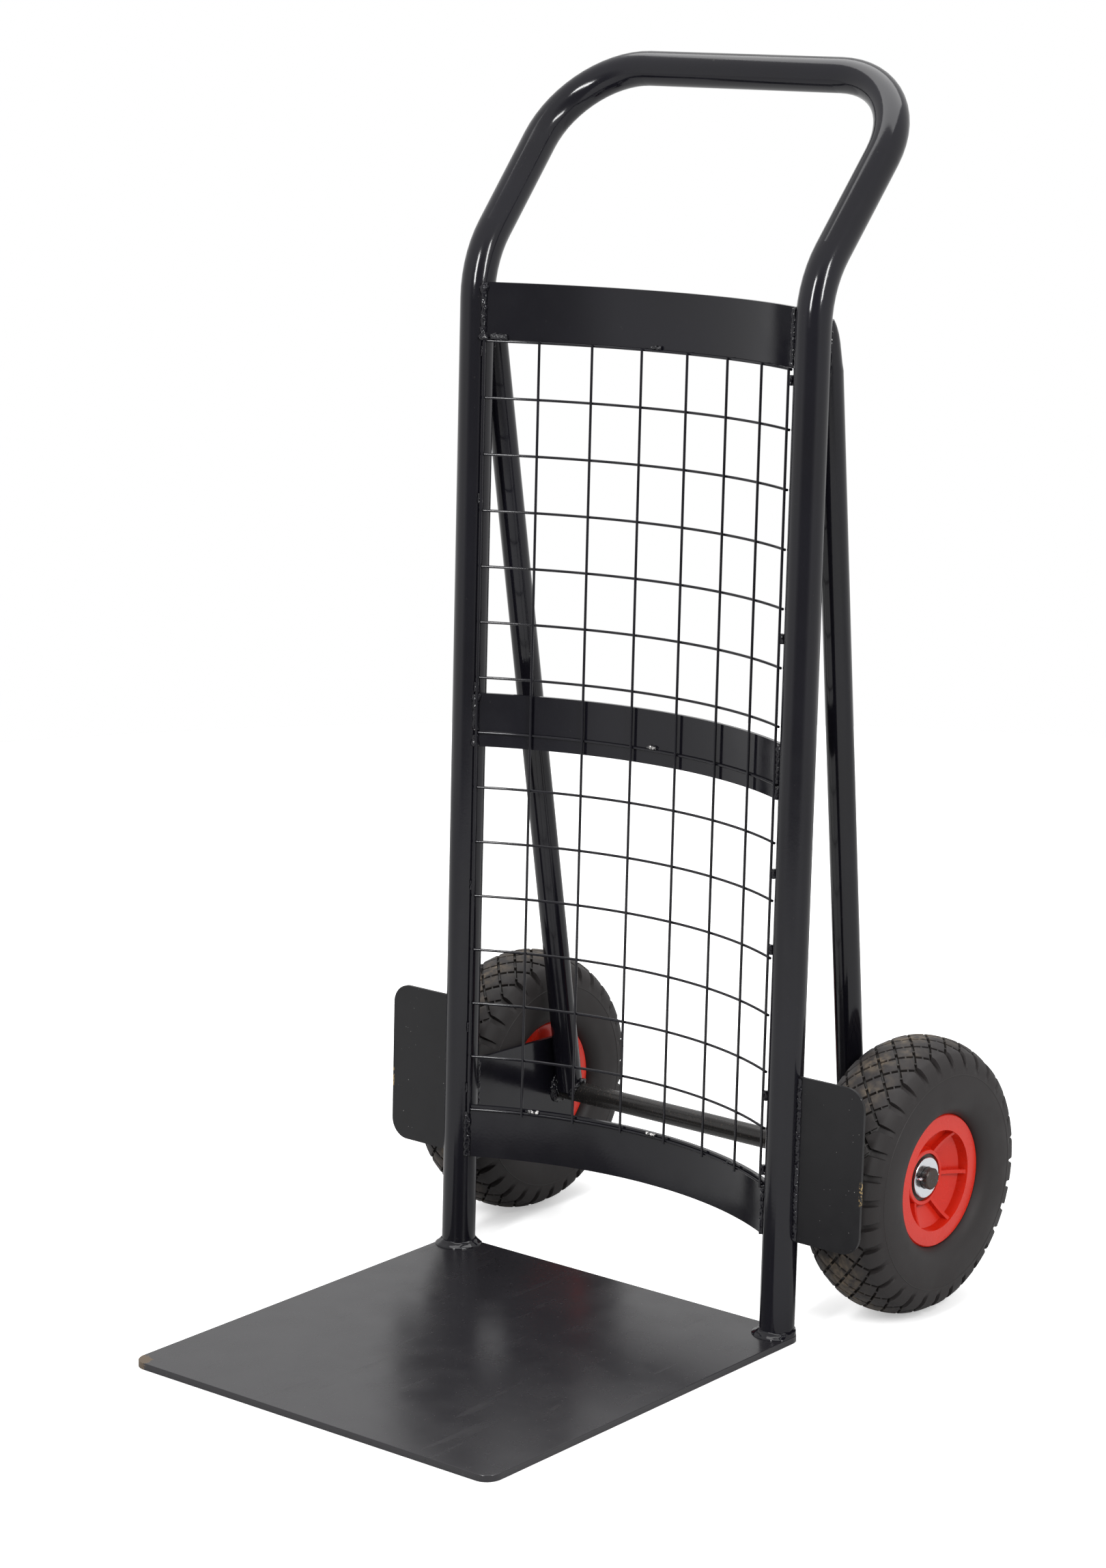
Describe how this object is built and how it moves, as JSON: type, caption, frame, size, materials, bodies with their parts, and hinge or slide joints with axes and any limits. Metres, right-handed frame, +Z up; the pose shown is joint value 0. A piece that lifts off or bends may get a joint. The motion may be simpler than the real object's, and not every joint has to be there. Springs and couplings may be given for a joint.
{
  "type": "hand truck",
  "caption": "Upright two-wheeled hand truck with a bowed wire-mesh back, bent tube handle, flat toe plate, side wheel guards and foam-filled tyres on red rims.",
  "frame": {"origin": "on the floor under the toe plate, midway between the uprights and level with where their centrelines reach the floor", "axes": "+Z up, +X to the truck's right as seen from the load side, -Y towards the toe plate's front edge, +Y towards the wheels and the handle"},
  "size_m": [0.5558, 0.6948, 1.134],
  "materials": {
    "frame_paint": "gloss black powder coat",
    "toe_plate_paint": "satin black powder coat, worn at one corner",
    "axle_paint": "gloss black, scuffed at the ends",
    "zinc_steel": "bright zinc plate",
    "tyre": "matt black foam-filled rubber",
    "rim": "semi-gloss red moulded plastic",
    "bearing": "dark moulded bearing cage"
  },
  "bodies": {
    "frame": {"frame_tube": "frame_paint", "toe_plate": "toe_plate_paint", "right_foot_weld": "frame_paint", "left_foot_weld": "frame_paint", "lower_cross_plate": "frame_paint", "middle_cross_plate": "frame_paint", "upper_cross_plate": "frame_paint", "mesh_vertical_wires": "frame_paint", "mesh_horizontal_wires": "frame_paint", "mesh_edge_tack_welds": "frame_paint", "mesh_plate_tack_welds": "frame_paint", "cross_plate_weld_beads": "frame_paint", "right_wheel_guard": "frame_paint", "left_wheel_guard": "frame_paint", "right_guard_weld_seam": "frame_paint", "left_guard_weld_seam": "frame_paint", "axle": "axle_paint", "right_axle_bracket": "frame_paint", "left_axle_bracket": "frame_paint", "right_bracket_weld": "frame_paint", "left_bracket_weld": "frame_paint", "right_brace_tube": "frame_paint", "left_brace_tube": "frame_paint", "right_brace_top_weld": "frame_paint", "left_brace_top_weld": "frame_paint", "right_brace_foot_weld": "frame_paint", "left_brace_foot_weld": "frame_paint", "right_inner_washer": "zinc_steel", "left_inner_washer": "zinc_steel", "right_outer_washer": "zinc_steel", "left_outer_washer": "zinc_steel", "right_split_pin": "zinc_steel", "left_split_pin": "zinc_steel"},
    "right_wheel": {"right_tyre": "tyre", "right_wheel_rim": "rim", "right_outer_bearing": "bearing", "right_inner_bearing": "bearing"},
    "left_wheel": {"left_tyre": "tyre", "left_wheel_rim": "rim", "left_outer_bearing": "bearing", "left_inner_bearing": "bearing"}
  },
  "joints": [
    {"name": "right_wheel_spin", "type": "hinge", "parent": "frame", "child": "right_wheel", "pos_m": [0.2332, 0.1456, 0.129], "axis": [1, 0, 0], "continuous": true},
    {"name": "left_wheel_spin", "type": "hinge", "parent": "frame", "child": "left_wheel", "pos_m": [-0.2332, 0.1456, 0.129], "axis": [1, 0, 0], "continuous": true}
  ]
}
